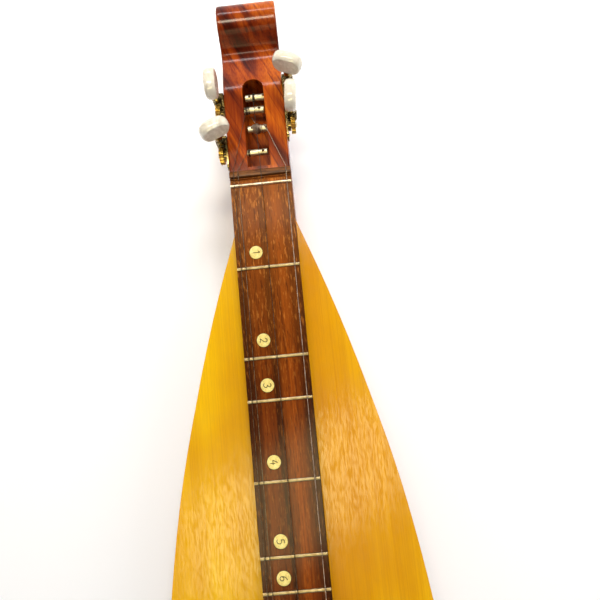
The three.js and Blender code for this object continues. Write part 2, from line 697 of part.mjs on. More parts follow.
// Button: a flattened round knob, a little narrower at its foot, with broad bevelled edges.
function tunerButton() {
	const BEVEL = 2.8;
	const half = BUTTON_WIDTH / 2;
	const top = BUTTON_HEIGHT;
	const shape = new THREE.Shape();
	shape.moveTo(-half * 0.45, 0);
	shape.lineTo(half * 0.45, 0);
	shape.bezierCurveTo(half * 0.8, 0.4, half, top * 0.28, half, top * 0.52);
	shape.bezierCurveTo(half, top * 0.8, half * 0.66, top, half * 0.24, top);
	shape.lineTo(-half * 0.24, top);
	shape.bezierCurveTo(-half * 0.66, top, -half, top * 0.8, -half, top * 0.52);
	shape.bezierCurveTo(-half, top * 0.28, -half * 0.8, 0.4, -half * 0.45, 0);
	const geometry = new THREE.ExtrudeGeometry(shape, {
		depth: BUTTON_THICKNESS - 2 * BEVEL,
		bevelEnabled: true,
		bevelSize: BEVEL * 0.8,
		bevelOffset: -BEVEL * 0.8,
		bevelThickness: BEVEL,
		bevelSegments: 3,
		curveSegments: 5,
	});
	geometry.translate(0, 0, BEVEL - BUTTON_THICKNESS / 2);
	geometry.rotateX(Math.PI / 2);
	const bore = alongZ(rod(1.5, -3, 8.2, 12));
	return cut(geometry, bore).translate(0, 0, BUTTON_BOTTOM);
}

function tuner(spec) {
	const group = new THREE.Group();
	group.position.set(0, spec.place, POST_HEIGHT);
	group.add(place(`${spec.name}_plate`, tunerPlate(spec), finishes.nickel()));
	group.add(place(`${spec.name}_post`, tunerPost(spec), finishes.nickel()));
	group.add(place(`${spec.name}_gear`, tunerGear(), finishes.brass(), spec.side * GEAR_OFFSET));
	const key = new THREE.Group();
	key.position.set(spec.side * GEAR_OFFSET, WORM_DISTANCE, 0);
	key.add(place(`${spec.name}_worm`, tunerWorm(), finishes.steel()));
	const button = place(`${spec.name}_button`, tunerButton(), finishes.pearl());
	button.rotation.z = THREE.MathUtils.degToRad(spec.turn);
	key.add(button);
	group.add(key);
	return group;
}

// ---------------------------------------------------------------- assembly

const dulcimer = new THREE.Group();
dulcimer.position.y = -(HEAD_END + PIN_REACH) / 2; // the lengthwise middle lies on Y = 0

dulcimer.add(soundboard(), backPlate(), rib('rib_left', -1), rib('rib_right', 1), tailBlock(), head());
dulcimer.add(fretboard(), nut(), bridge());
dulcimer.add(wire('nut_bar', NUT_BAR_PLACE, BAR_WIDTH, BAR_HEIGHT, BAR_WIDTH / 2));
FRET_PLACES.forEach((y, i) => {
	const name = `fret_${String(i + 1).padStart(2, '0')}`;
	dulcimer.add(wire(name, y, FRET_CROWN_WIDTH, FRET_HEIGHT, FRET_TANG_WIDTH));
});

const TOP_BRACE_PLACES = [-215, -510];
const BACK_BRACE_PLACES = [-190, -480];
TOP_BRACE_PLACES.forEach((y, i) => {
	dulcimer.add(brace(`top_brace_${i + 1}`, y, BODY_HEIGHT - PLATE_THICKNESS, -1));
});
BACK_BRACE_PLACES.forEach((y, i) => {
	dulcimer.add(brace(`back_brace_${i + 1}`, y, PLATE_THICKNESS, 1));
});

STRINGS.forEach((spec, i) => {
	dulcimer.add(string(spec), tailPin(`tail_pin_${i + 1}`, spec.pinX));
});
TUNERS.forEach((spec) => dulcimer.add(tuner(spec)));

export default dulcimer;
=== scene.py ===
import json
import math

import bmesh
import bpy
from mathutils import Matrix, Vector


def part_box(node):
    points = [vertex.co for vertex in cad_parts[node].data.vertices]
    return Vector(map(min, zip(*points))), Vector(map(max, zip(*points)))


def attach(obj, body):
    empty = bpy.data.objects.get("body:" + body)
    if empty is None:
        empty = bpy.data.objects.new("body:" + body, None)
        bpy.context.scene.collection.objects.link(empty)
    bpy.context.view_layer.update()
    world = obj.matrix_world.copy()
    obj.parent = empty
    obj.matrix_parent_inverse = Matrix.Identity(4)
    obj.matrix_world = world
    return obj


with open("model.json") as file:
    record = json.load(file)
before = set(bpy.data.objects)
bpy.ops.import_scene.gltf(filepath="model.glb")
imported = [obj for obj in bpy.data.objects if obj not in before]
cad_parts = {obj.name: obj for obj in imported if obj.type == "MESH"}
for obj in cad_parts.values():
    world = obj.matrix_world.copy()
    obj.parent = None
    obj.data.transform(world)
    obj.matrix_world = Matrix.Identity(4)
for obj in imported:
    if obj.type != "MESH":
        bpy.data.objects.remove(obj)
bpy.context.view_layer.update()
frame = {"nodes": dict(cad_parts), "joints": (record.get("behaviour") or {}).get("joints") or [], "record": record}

MM = 0.001
nodes = frame["nodes"]
joints = {joint["name"]: joint for joint in frame["joints"]}

FRET_COUNT = 14
TUNER_COUNT = 4
TUNERS = [f"tuner_{number}" for number in range(1, TUNER_COUNT + 1)]
NUT_FRONT = 1 * MM

nut_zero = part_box("nut")[1].y - NUT_FRONT
board_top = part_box("fretboard")[1].z


# ---------------------------------------------------------------- camera

CAMERA_LENS = 25.2
CAMERA_RIGHT = Vector((0.99495, -0.09542, -0.0312))
CAMERA_BACK = Vector((0.02014, -0.11478, 0.99319))
CAMERA_PLACE = Vector((25.85 * MM, nut_zero - 130.26 * MM, board_top + 290.44 * MM))


def add_camera():
    """Looks almost straight down on the upper half, from 29 cm above the fretboard."""
    data = bpy.data.cameras.new("camera")
    data.lens = CAMERA_LENS
    data.sensor_width = 36
    data.clip_start = 0.01
    camera = bpy.data.objects.new("camera", data)
    bpy.context.scene.collection.objects.link(camera)
    up = CAMERA_BACK.cross(CAMERA_RIGHT).normalized()
    right = up.cross(CAMERA_BACK).normalized()
    turn = Matrix((right, up, CAMERA_BACK)).transposed().to_4x4()
    camera.matrix_world = Matrix.Translation(CAMERA_PLACE) @ turn
    bpy.context.scene.camera = camera


# ---------------------------------------------------------------- materials

WHITE = (255, 255, 255)


def paint(red, green, blue):
    """An sRGB colour, 0 to 255, as the linear RGBA that the shaders take."""
    def linear(value):
        value = value / 255
        return value / 12.92 if value <= 0.04045 else ((value + 0.055) / 1.055) ** 2.4
    return (linear(red), linear(green), linear(blue), 1)


class Look:
    """A procedural material: nodes are added by name and wired to one Principled shader."""

    def __init__(self, name, **fixed):
        self.material = bpy.data.materials.new(name)
        self.material.use_nodes = True
        self.tree = self.material.node_tree
        self.tree.nodes.clear()
        self.shader = self.node("BsdfPrincipled")
        self.node("OutputMaterial", {"Surface": self.shader.outputs[0]})
        for socket, value in fixed.items():
            self.join(self.shader, socket.replace("_", " "), value)
        self.place = self.node("TexCoord").outputs["Object"]
        self.height = None

    def join(self, node, socket, value):
        if isinstance(value, bpy.types.NodeSocket):
            self.tree.links.new(value, node.inputs[socket])
        else:
            node.inputs[socket].default_value = value

    def node(self, kind, sockets=None, **settings):
        made = self.tree.nodes.new("ShaderNode" + kind)
        for key, value in settings.items():
            setattr(made, key, value)
        for key, value in (sockets or {}).items():
            self.join(made, key, value)
        return made

    def math(self, operation, first, second=0.0):
        sockets = {0: first, 1: second}
        return self.node("Math", sockets, operation=operation).outputs[0]

    def axis(self, name):
        return self.node("SeparateXYZ", {0: self.place}).outputs[name]

    def noise(self, stretch, detail=3.0, distortion=0.0, turn=(0, 0, 0), at=None):
        """Noise whose features are 1 / stretch metres across, along each axis."""
        sockets = {"Vector": at or self.place, "Rotation": turn, "Scale": stretch}
        vector = self.node("Mapping", sockets, vector_type="POINT").outputs[0]
        sockets = {"Vector": vector, "Scale": 1.0, "Detail": detail, "Distortion": distortion}
        return self.node("TexNoise", sockets).outputs["Fac"]

    def spread(self, value, low, high, to_low=0.0, to_high=1.0):
        """Maps low..high to to_low..to_high, and holds the ends."""
        sockets = {0: value, 1: low, 2: high, 3: to_low, 4: to_high}
        return self.node("MapRange", sockets, clamp=True).outputs[0]

    def ramp(self, value, stops):
        """stops is a list of (place, sRGB colour)."""
        node = self.node("ValToRGB", {0: value})
        ramp = node.color_ramp
        while len(ramp.elements) < len(stops):
            ramp.elements.new(1.0)
        for element, (place, colour) in zip(ramp.elements, stops):
            element.position = place
            element.color = paint(*colour)
        return node.outputs[0]

    def mix(self, factor, first, second, blend="MIX"):
        sockets = {0: factor, 6: first, 7: second}
        node = self.node("Mix", sockets, data_type="RGBA", blend_type=blend)
        return node.outputs[2]

    def colour(self, value):
        self.join(self.shader, "Base Color", value)

    def rough(self, value):
        self.join(self.shader, "Roughness", value)

    def bump(self, height, distance):
        """Adds a relief of that many metres on top of any given before."""
        sockets = {"Height": height, "Distance": distance, "Strength": 1.0}
        if self.height:
            sockets["Normal"] = self.height
        self.height = self.node("Bump", sockets).outputs[0]
        self.join(self.shader, "Normal", self.height)


def top_wood():
    """Golden lacquered soundboard, with a satin sheen whose speckle breaks up the coat."""
    look = Look("top_wood", Coat_Roughness=0.17, Specular_IOR_Level=0.06)
    drift = look.math("MULTIPLY", look.noise((9, 1.5, 9), 2), 0.012)
    across = look.math("ADD", look.axis("X"), drift)
    tone = look.ramp(look.spread(across, -0.094, 0.106), [
        (0.0, (236, 184, 4)), (0.2, (244, 199, 8)), (0.36, (238, 184, 3)),
        (0.5, (224, 159, 2)), (0.66, (216, 152, 2)), (0.8, (226, 168, 4)), (1.0, (240, 192, 12))])
    bands = look.ramp(look.noise((70, 2.2, 70), 3), [(0.3, (238, 228, 206)), (0.62, WHITE)])
    lines = look.ramp(look.noise((1300, 7, 1300), 2), [(0.3, (244, 238, 226)), (0.6, WHITE)])
    clouds = look.ramp(look.noise((16, 8, 16), 3), [(0.35, (232, 212, 180)), (0.65, WHITE)])
    wood = look.mix(0.7, tone, bands, "MULTIPLY")
    wood = look.mix(1.0, wood, lines, "MULTIPLY")
    look.colour(look.mix(1.0, wood, clouds, "MULTIPLY"))
    look.rough(look.spread(look.noise((500, 12, 500), 3), 0.3, 0.7, 0.26, 0.42))
    look.bump(look.noise((1300, 7, 1300), 2), 0.00003)
    look.bump(look.noise((45, 30, 45), 2), 0.00008)
    speckle = look.spread(look.noise((1200, 170, 1200), 2), 0.38, 0.62, 0.12, 1.0)
    look.join(look.shader, "Coat Weight", speckle)
    look.join(look.shader, "Coat Normal", look.height)
    return look.material


def body_wood():
    """Brown lacquered back and ribs."""
    look = Look("body_wood", Coat_Weight=0.6, Coat_Roughness=0.12, Specular_IOR_Level=0.1)
    rings = look.noise((60, 3, 90), 4, 1.2)
    tone = look.ramp(rings, [(0.3, (104, 52, 20)), (0.5, (146, 84, 38)), (0.72, (176, 112, 58))])
    fibres = look.ramp(look.noise((1200, 16, 1200), 3), [(0.35, (190, 170, 150)), (0.6, WHITE)])
    look.colour(look.mix(1.0, tone, fibres, "MULTIPLY"))
    look.rough(look.spread(look.noise((700, 14, 700), 3), 0.3, 0.7, 0.3, 0.46))
    look.bump(look.noise((1200, 16, 1200), 3), 0.00003)
    return look.material


def head_wood():
    """Amber figured head, with painted shade on the scroll's steep slope: a darker tone and a duller coat there.
    """
    look = Look("head_wood", Coat_Roughness=0.13, Specular_IOR_Level=0.03)
    sockets = {"Vector": look.place, "Angle": math.radians(-24)}
    slant = look.node("VectorRotate", sockets, rotation_type="Z_AXIS").outputs[0]
    figure = look.noise((70, 12, 40), 2, 0.8, at=slant)
    tone = look.ramp(figure, [
        (0.28, (70, 18, 1)), (0.42, (122, 44, 2)), (0.54, (172, 76, 4)), (0.74, (204, 108, 14))])
    streaks = look.ramp(look.noise((420, 9, 160), 2, 0.5, at=slant), [
        (0.3, (110, 58, 30)), (0.4, (214, 184, 160)), (0.5, WHITE)])
    fibres = look.ramp(look.noise((1500, 60, 1500), 2), [(0.32, (214, 190, 160)), (0.6, WHITE)])
    # Painted shade: a darker band across the scroll's steep slope.
    slope_painted_shade = look.ramp(look.spread(look.axis("Y"), nut_zero + 0.088, nut_zero + 0.122), [
        (0.0, WHITE), (0.4, (176, 140, 120)), (0.65, (168, 130, 110)), (1.0, WHITE)])
    wood = look.mix(1.0, look.mix(0.8, tone, streaks, "MULTIPLY"), slope_painted_shade, "MULTIPLY")
    look.colour(look.mix(1.0, wood, fibres, "MULTIPLY"))
    look.rough(look.spread(figure, 0.3, 0.7, 0.3, 0.42))
    # A duller coat over the same slope, also painted shade, so reflections don't lighten it.
    from_shaded_slope = look.math("ABSOLUTE", look.math("SUBTRACT", look.axis("Y"), nut_zero + 0.104))
    look.join(look.shader, "Coat Weight", look.spread(from_shaded_slope, 0.006, 0.012, 0.1, 0.6))
    look.bump(look.noise((900, 40, 900), 2), 0.00002)
    look.bump(look.noise((60, 60, 60), 2), 0.00005)
    return look.material


def board_wood():
    """Dark open-grained fretboard, paler and more flecked towards the nut."""
    look = Look("board_wood", Coat_Roughness=0.16, Specular_IOR_Level=0.03)
    wander = look.math("MULTIPLY", look.noise((60, 4, 60), 3), 0.006)
    across = look.math("ADD", look.axis("X"), wander)
    tone = look.ramp(look.spread(across, -0.020, 0.026), [
        (0.0, (54, 20, 2)), (0.13, (72, 28, 3)), (0.2, (108, 46, 3)), (0.4, (102, 42, 2)),
        (0.48, (64, 26, 2)), (0.56, (108, 47, 3)), (0.68, (138, 63, 6)), (0.8, (104, 44, 3)),
        (0.9, (64, 24, 2)), (1.0, (50, 18, 2))])
    rings = look.ramp(look.noise((520, 7, 520), 4, 0.3), [(0.3, (150, 126, 110)), (0.56, WHITE)])
    near_nut = look.spread(look.axis("Y"), nut_zero - 0.16, nut_zero - 0.02)
    look.join(look.shader, "Coat Weight", look.spread(near_nut, 0, 1, 0.24, 0.05))
    fleck = look.spread(look.noise((1100, 190, 1100), 2), 0.56, 0.66)
    pore = look.spread(look.noise((1500, 120, 1500), 2), 0.58, 0.66)
    wood = look.mix(0.85, tone, rings, "MULTIPLY")
    wood = look.mix(look.math("MULTIPLY", near_nut, 0.3), wood, paint(170, 96, 26))
    wood = look.mix(look.math("MULTIPLY", fleck, look.spread(near_nut, 0, 1, 0.12, 0.6)), wood,
                    paint(206, 128, 52))
    wood = look.mix(look.math("MULTIPLY", pore, 0.55), wood, paint(38, 14, 4))
    look.colour(wood)
    look.rough(look.spread(look.noise((600, 30, 600), 3), 0.3, 0.7, 0.34, 0.55))
    look.bump(look.math("MULTIPLY", pore, -1.0), 0.00006)
    look.bump(look.noise((900, 24, 900), 3), 0.00004)
    return look.material


def nut_wood():
    """Brown wood with its grain along X, for nut and bridge."""
    look = Look("nut_wood", Coat_Weight=0.2, Coat_Roughness=0.25, Specular_IOR_Level=0.1)
    rings = look.noise((30, 420, 420), 4, 0.5)
    tone = look.ramp(rings, [(0.3, (60, 30, 9)), (0.5, (104, 60, 22)), (0.7, (132, 82, 36))])
    pores = look.ramp(look.noise((160, 1700, 1700), 2), [(0.36, (150, 130, 110)), (0.5, WHITE)])
    look.colour(look.mix(1.0, tone, pores, "MULTIPLY"))
    look.rough(look.spread(look.noise((200, 900, 900), 3), 0.3, 0.7, 0.35, 0.55))
    look.bump(look.noise((160, 1700, 1700), 2), 0.00003)
    return look.material


def inner_wood():
    """Bare pale wood of the tail block and the braces."""
    look = Look("inner_wood", Specular_IOR_Level=0.3)
    rings = look.noise((12, 300, 300), 4, 0.3)
    tone = look.ramp(rings, [
        (0.3, (196, 160, 112)), (0.6, (226, 196, 148)), (0.75, (236, 210, 168))])
    fuzz = look.ramp(look.noise((900, 900, 900), 2), [(0.3, (226, 220, 210)), (0.6, WHITE)])
    look.colour(look.mix(1.0, tone, fuzz, "MULTIPLY"))
    look.rough(look.spread(look.noise((700, 700, 700), 2), 0.3, 0.7, 0.6, 0.85))
    look.bump(look.noise((900, 900, 900), 2), 0.00005)
    return look.material


def metal(name, bright, dull, smooth, worn, scratch=(900, 900, 900)):
    """Plated or bare metal: patches of tarnish, fine scratches, uneven polish."""
    look = Look(name, Metallic=1.0)
    patches = look.noise((260, 260, 260), 4, 0.6)
    specks = look.noise((1700, 1700, 1700), 2)
    tone = look.mix(look.spread(patches, 0.42, 0.68), paint(*bright), paint(*dull))
    look.colour(look.mix(look.spread(specks, 0.62, 0.7, 0.0, 0.5), tone, paint(*dull)))
    look.rough(look.spread(look.noise(scratch, 3), 0.3, 0.7, smooth, worn))
    look.bump(look.noise(scratch, 3), 0.000012)
    return look


def fret_wire():
    """Nickel silver, darkened where each string crosses by painted string shadows and by wear."""
    look = metal("fret_wire", (188, 172, 138), (158, 136, 98), 0.36, 0.55, (300, 2400, 2400))
    base = look.shader.inputs["Base Color"].links[0].from_socket
    # Painted string shadows and wear: narrow dark bands at each string's X.
    string_shadows_and_wear = look.ramp(look.spread(look.axis("X"), -0.0222, 0.0222), [
        (0.0, WHITE), (0.066, WHITE), (0.08, (70, 52, 30)), (0.094, WHITE),
        (0.135, WHITE), (0.149, (80, 60, 36)), (0.163, WHITE),
        (0.495, WHITE), (0.514, (90, 70, 44)), (0.533, WHITE),
        (0.9, WHITE), (0.917, (60, 44, 30)), (0.934, WHITE)])
    look.colour(look.mix(0.85, base, string_shadows_and_wear, "MULTIPLY"))
    return look.material


def bronze_winding():
    """The bass string: a fine winding around a core, seen as close rings."""
    look = metal("bronze_winding", (206, 186, 172), (140, 116, 104), 0.3, 0.46)
    ring = look.math("SINE", look.math("MULTIPLY", look.axis("Y"), 2 * math.pi / 0.00028))
    look.bump(look.spread(ring, -1, 1), 0.00006)
    return look.material


def pearloid():
    """Tuner buttons."""
    look = Look("pearloid", Coat_Weight=1.0, Coat_Roughness=0.04, Specular_IOR_Level=0.3)
    swirl = look.noise((60, 60, 45), 2, 1.6, (0.4, 0.2, 0.7))
    flake = look.noise((240, 240, 160), 2, 1.6)
    tone = look.ramp(swirl, [
        (0.28, (206, 196, 176)), (0.45, (226, 218, 200)),
        (0.56, (216, 207, 188)), (0.7, (232, 227, 214))])
    sheen = look.ramp(flake, [(0.35, (248, 246, 242)), (0.6, WHITE)])
    look.colour(look.mix(0.8, tone, sheen, "MULTIPLY"))
    look.rough(look.spread(flake, 0.3, 0.7, 0.2, 0.3))
    look.bump(swirl, 0.00001)
    return look.material


def bone():
    """Fret dots."""
    look = Look("dot_bone", Coat_Weight=0.3, Coat_Roughness=0.18, Specular_IOR_Level=0.2)
    tone = look.ramp(look.noise((300, 300, 300), 4, 0.8), [
        (0.3, (208, 184, 100)), (0.5, (226, 206, 120)), (0.72, (238, 222, 150))])
    specks = look.ramp(look.noise((2400, 1200, 2400), 2), [(0.3, (206, 188, 140)), (0.46, WHITE)])
    look.colour(look.mix(0.8, tone, specks, "MULTIPLY"))
    look.rough(look.spread(look.noise((900, 900, 900), 2), 0.3, 0.7, 0.3, 0.48))
    look.bump(look.noise((1400, 1400, 1400), 2), 0.00002)
    return look.material


def char(name, dark, warm):
    """Burned wood or dried glue: matt, uneven, almost black."""
    look = Look(name, Specular_IOR_Level=0.25)
    tone = look.noise((1500, 1500, 1500), 3)
    look.colour(look.mix(look.spread(tone, 0.4, 0.65), paint(*dark), paint(*warm)))
    look.rough(look.spread(tone, 0.3, 0.7, 0.6, 0.85))
    look.bump(tone, 0.00004)
    return look.material


def backdrop():
    """The pale floor."""
    look = Look("backdrop", Specular_IOR_Level=0.2)
    tone = look.noise((3, 3, 3), 2)
    look.colour(look.mix(look.spread(tone, 0.3, 0.7), paint(246, 247, 249), paint(250, 250, 251)))
    look.rough(look.spread(tone, 0.3, 0.7, 0.7, 0.8))
    return look.material


# ---------------------------------------------------------------- CAD nodes

SMOOTH_LIMIT = math.radians(32)
BEVEL_LIMIT = math.radians(34)
FLAT_LIMIT = math.radians(0.3)
WELD_GAP = 0.002 * MM


def edge_smoother():
    """Geometry nodes: drop the stored normals and shade smooth except across sharp edges."""
    group = bpy.data.node_groups.new("smooth_by_angle", "GeometryNodeTree")
    group.interface.new_socket("Geometry", in_out="INPUT", socket_type="NodeSocketGeometry")
    group.interface.new_socket("Geometry", in_out="OUTPUT", socket_type="NodeSocketGeometry")
    start = group.nodes.new("NodeGroupInput")
    end = group.nodes.new("NodeGroupOutput")
    drop = group.nodes.new("GeometryNodeRemoveAttribute")
    drop.inputs["Name"].default_value = "custom_normal"
    faces = group.nodes.new("GeometryNodeSetShadeSmooth")
    faces.domain = "FACE"
    edges = group.nodes.new("GeometryNodeSetShadeSmooth")
    edges.domain = "EDGE"
    angle = group.nodes.new("GeometryNodeInputMeshEdgeAngle")
    limit = group.nodes.new("ShaderNodeMath")
    limit.operation = "LESS_THAN"
    limit.inputs[1].default_value = SMOOTH_LIMIT
    link = group.links.new
    link(start.outputs[0], drop.inputs["Geometry"])
    link(drop.outputs["Geometry"], faces.inputs["Geometry"])
    link(faces.outputs["Geometry"], edges.inputs["Geometry"])
    link(angle.outputs["Unsigned Angle"], limit.inputs[0])
    link(limit.outputs[0], edges.inputs["Shade Smooth"])
    link(edges.outputs["Geometry"], end.inputs[0])
    return group


SMOOTHER = edge_smoother()


def soften(node, width=0.0, segments=2):
    """Welds the node's triangles, rounds its sharp edges a little and smooths its curves."""
    item = nodes[node]
    weld = item.modifiers.new("weld", "WELD")
    weld.merge_threshold = WELD_GAP
    if width:
        flat = item.modifiers.new("flat", "DECIMATE")
        flat.decimate_type = "DISSOLVE"
        flat.angle_limit = FLAT_LIMIT
        bevel = item.modifiers.new("bevel", "BEVEL")
        bevel.width = width
        bevel.segments = segments
        bevel.limit_method = "ANGLE"
        bevel.angle_limit = BEVEL_LIMIT
        bevel.miter_outer = "MITER_ARC"
    smooth = item.modifiers.new("smooth", "NODES")
    smooth.node_group = SMOOTHER
    if width:
        weighted = item.modifiers.new("weighted", "WEIGHTED_NORMAL")
        weighted.keep_sharp = True


def dress(node, material):
    """Gives a CAD node one material."""
    item = nodes[node]
    item.data.materials.clear()
    item.data.materials.append(material)


def dress_cad():
    """Materials and softened edges for every CAD node; returns the materials by slot."""
    fret = fret_wire()
    slots = {
        "top_wood": top_wood(),
        "body_wood": body_wood(),
        "head_wood": head_wood(),
        "board_wood": board_wood(),
        "nut_wood": nut_wood(),
        "inner_wood": inner_wood(),
        "nickel": metal("nickel", (236, 228, 206), (190, 178, 150), 0.34, 0.55).material,
        "brass": metal("brass", (226, 186, 96), (150, 108, 44), 0.2, 0.4).material,
        "steel": metal("steel", (118, 110, 100), (66, 58, 50), 0.3, 0.5).material,
        "bronze": bronze_winding(),
        "aged": metal("aged_plate", (158, 138, 92), (84, 68, 40), 0.14, 0.3).material,
        "pearloid": pearloid(),
    }
    edges = {
        "soundboard": 0.5, "back": 0.5, "rib_left": 0.15, "rib_right": 0.15, "head": 0.5,
        "fretboard": 0.4, "nut": 0.35, "bridge": 0.3, "tail_block": 0.2,
    }
    edges.update({f"{tuner}_plate": 0.18 for tuner in TUNERS})
    edges.update({f"{tuner}_gear": 0.12 for tuner in TUNERS})
    edges.update({f"{tuner}_button": 0.5 for tuner in TUNERS})
    for part in frame["record"]["subparts"]:
        name = part["node"]
        material = slots[part["material_slot"]]
        if name.startswith("fret_"):
            material = fret
        elif name.endswith(("_plate", "_worm")):
            material = slots["aged"]
        dress(name, material)
        soften(name, edges.get(name, 0) * MM)
    return slots


# ---------------------------------------------------------------- mesh tools

def add_mesh(name, points, faces, material, smooth=True):
    """One object from points in metres and faces by index."""
    mesh = bpy.data.meshes.new(name)
    mesh.from_pydata([tuple(point) for point in points], [], faces)
    mesh.validate()
    mesh.materials.append(material)
    for polygon in mesh.polygons:
        polygon.use_smooth = smooth
    item = bpy.data.objects.new(name, mesh)
    bpy.context.scene.collection.objects.link(item)
    return item


def tube(name, line, radius, material, sides=8, flatten=1.0):
    """A closed round tube along a list of points; flatten squeezes it along Z."""
    points = []
    faces = []
    normal = Vector((0, 0, 1))
    for i, point in enumerate(line):
        ahead = line[min(i + 1, len(line) - 1)]
        behind = line[max(i - 1, 0)]
        tangent = (ahead - behind).normalized()
        normal = normal - tangent * normal.dot(tangent)
        if normal.length < 1e-6:
            normal = tangent.orthogonal()
        normal.normalize()
        side = tangent.cross(normal)
        for k in range(sides):
            angle = 2 * math.pi * k / sides
            offset = normal * math.cos(angle) + side * math.sin(angle)
            offset.z *= flatten
            points.append(point + offset * radius)
    for i in range(len(line) - 1):
        for k in range(sides):
            a = i * sides + k
            b = i * sides + (k + 1) % sides
            faces.append((a, b, b + sides, a + sides))
    faces.append(tuple(reversed(range(sides))))
    faces.append(tuple(range((len(line) - 1) * sides, len(line) * sides)))
    return add_mesh(name, points, faces, material)


def lathe(name, profile, material, sides=40):
    """Spins (radius, height) pairs around Z. The first pair is on the axis at the top."""
    points = [Vector((0, 0, profile[0][1]))]
    faces = []
    for radius, height in profile[1:]:
        for k in range(sides):
            angle = 2 * math.pi * k / sides
            points.append(Vector((radius * math.cos(angle), radius * math.sin(angle), height)))
    for k in range(sides):
        faces.append((0, 1 + k, 1 + (k + 1) % sides))
    for ring in range(len(profile) - 2):
        for k in range(sides):
            a = 1 + ring * sides + k
            b = 1 + ring * sides + (k + 1) % sides
            faces.append((a, a + sides, b + sides, b))
    last = 1 + (len(profile) - 2) * sides
    faces.append(tuple(reversed(range(last, last + sides))))
    return add_mesh(name, points, faces, material)


def curve_through(points, steps=6):
    """A smooth line through the points (Catmull-Rom)."""
    line = []
    padded = [points[0] * 2 - points[1]] + list(points) + [points[-1] * 2 - points[-2]]
    for i in range(1, len(padded) - 2):
        a, b, c, d = padded[i - 1:i + 3]
        for step in range(steps):
            t = step / steps
            line.append(0.5 * (2 * b + (c - a) * t + (2 * a - 5 * b + 4 * c - d) * t ** 2
                               + (3 * b - a - 3 * c + d) * t ** 3))
    line.append(points[-1].copy())
    return line


def end_of(node, sign):
    """The middle of a string's end that lies furthest along +Y or -Y."""
    places = [vertex.co for vertex in nodes[node].data.vertices]
    edge = max(sign * place.y for place in places)
    close = [place for place in places if sign * place.y > edge - 0.1 * MM]
    return sum(close, Vector()) / len(close)


# ---------------------------------------------------------------- fret dots

DOT_RADIUS = 4.65 * MM
DOT_RISE = 0.12 * MM
DOT_DEPTH = 1 * MM
DOT_X = -7.8 * MM

# From the middle of each fret to its dot, towards the nut, in mm. Later frets take the last one,
# or half of the space before the next fret if that is less.
DOT_GAPS = [11, 12, 10.2, 12.5, 9.6, 8.6]

GLUE_WIDTH = 0.3 * MM
GLUE_RISE = 0.012 * MM
GLUE_DEPTH = 0.9 * MM

# Numerals: the height of one figure and of two, the stroke's radius, and a figure's width and
# step, in heights.
ONE_FIGURE = 5.0 * MM
TWO_FIGURES = 3.9 * MM
STROKE_RADIUS = 0.27 * MM
FIGURE_WIDTH = 0.6
FIGURE_STEP = 0.78

# Strokes of each figure, in a box FIGURE_WIDTH wide and 1 high.
DIGITS = {
    "0": [[(0.3, 1), (0.08, 0.8), (0.03, 0.45), (0.12, 0.1), (0.3, 0), (0.5, 0.12), (0.57, 0.5),
           (0.5, 0.85), (0.3, 1)]],
    "1": [[(0.14, 0.8), (0.34, 1), (0.33, 0)]],
    "2": [[(0.05, 0.76), (0.18, 0.97), (0.4, 0.99), (0.55, 0.8), (0.46, 0.52), (0.22, 0.24),
           (0.04, 0.03)],
          [(0.04, 0.03), (0.3, 0.06), (0.6, 0.0)]],
    "3": [[(0.06, 0.9), (0.3, 1), (0.52, 0.86), (0.46, 0.64), (0.24, 0.54)],
          [(0.24, 0.54), (0.5, 0.44), (0.57, 0.22), (0.38, 0.02), (0.16, 0), (0.02, 0.12)]],
    "4": [[(0.36, 1), (0.16, 0.64), (0.02, 0.36)], [(0.02, 0.36), (0.6, 0.38)],
          [(0.44, 0.66), (0.42, 0)]],
    "5": [[(0.54, 0.99), (0.12, 0.97)], [(0.12, 0.97), (0.08, 0.57)],
          [(0.08, 0.57), (0.32, 0.63), (0.54, 0.48), (0.55, 0.24), (0.4, 0.04), (0.18, 0),
           (0.02, 0.1)]],
    "6": [[(0.5, 0.98), (0.2, 0.76), (0.05, 0.4), (0.08, 0.12), (0.28, 0), (0.5, 0.1), (0.56, 0.32),
           (0.4, 0.5), (0.2, 0.48), (0.07, 0.3)]],
    "7": [[(0.03, 0.98), (0.57, 1)], [(0.57, 1), (0.38, 0.55), (0.24, 0)]],
    "8": [[(0.3, 0.54), (0.1, 0.68), (0.1, 0.9), (0.3, 1), (0.5, 0.9), (0.5, 0.68), (0.3, 0.54),
           (0.06, 0.36), (0.05, 0.12), (0.3, 0), (0.55, 0.12), (0.54, 0.36), (0.3, 0.54)]],
    "9": [[(0.12, 0.02), (0.4, 0.25), (0.55, 0.6), (0.52, 0.88), (0.32, 1), (0.1, 0.9),
           (0.04, 0.68), (0.2, 0.5), (0.4, 0.52), (0.53, 0.7)]],
}


def join_pieces(name, pieces):
    """One object from several meshes that share a material."""
    joined = bmesh.new()
    for piece in pieces:
        joined.from_mesh(piece.data)
    mesh = pieces[0].data
    joined.to_mesh(mesh)
    joined.free()
    for piece in pieces[1:]:
        bpy.data.objects.remove(piece)
    pieces[0].name = name
    return pieces[0]


def numeral(name, text, centre, height, material):
    """Burned strokes whose top points to +X and which read towards the tail."""
    width = (len(text) - 1) * FIGURE_STEP + FIGURE_WIDTH
    pieces = []
    for place, digit in enumerate(text):
        for line in DIGITS[digit]:
            points = []
            for x, y in line:
                along = (x + place * FIGURE_STEP - width / 2) * height
                points.append(centre + Vector(((y - 0.5) * height, -along, 0)))
            line = curve_through(points, 5) if len(points) > 2 else points
            pieces.append(tube(f"{name}_stroke", line, STROKE_RADIUS, material, 8, 0.25))
    return join_pieces(name, pieces)


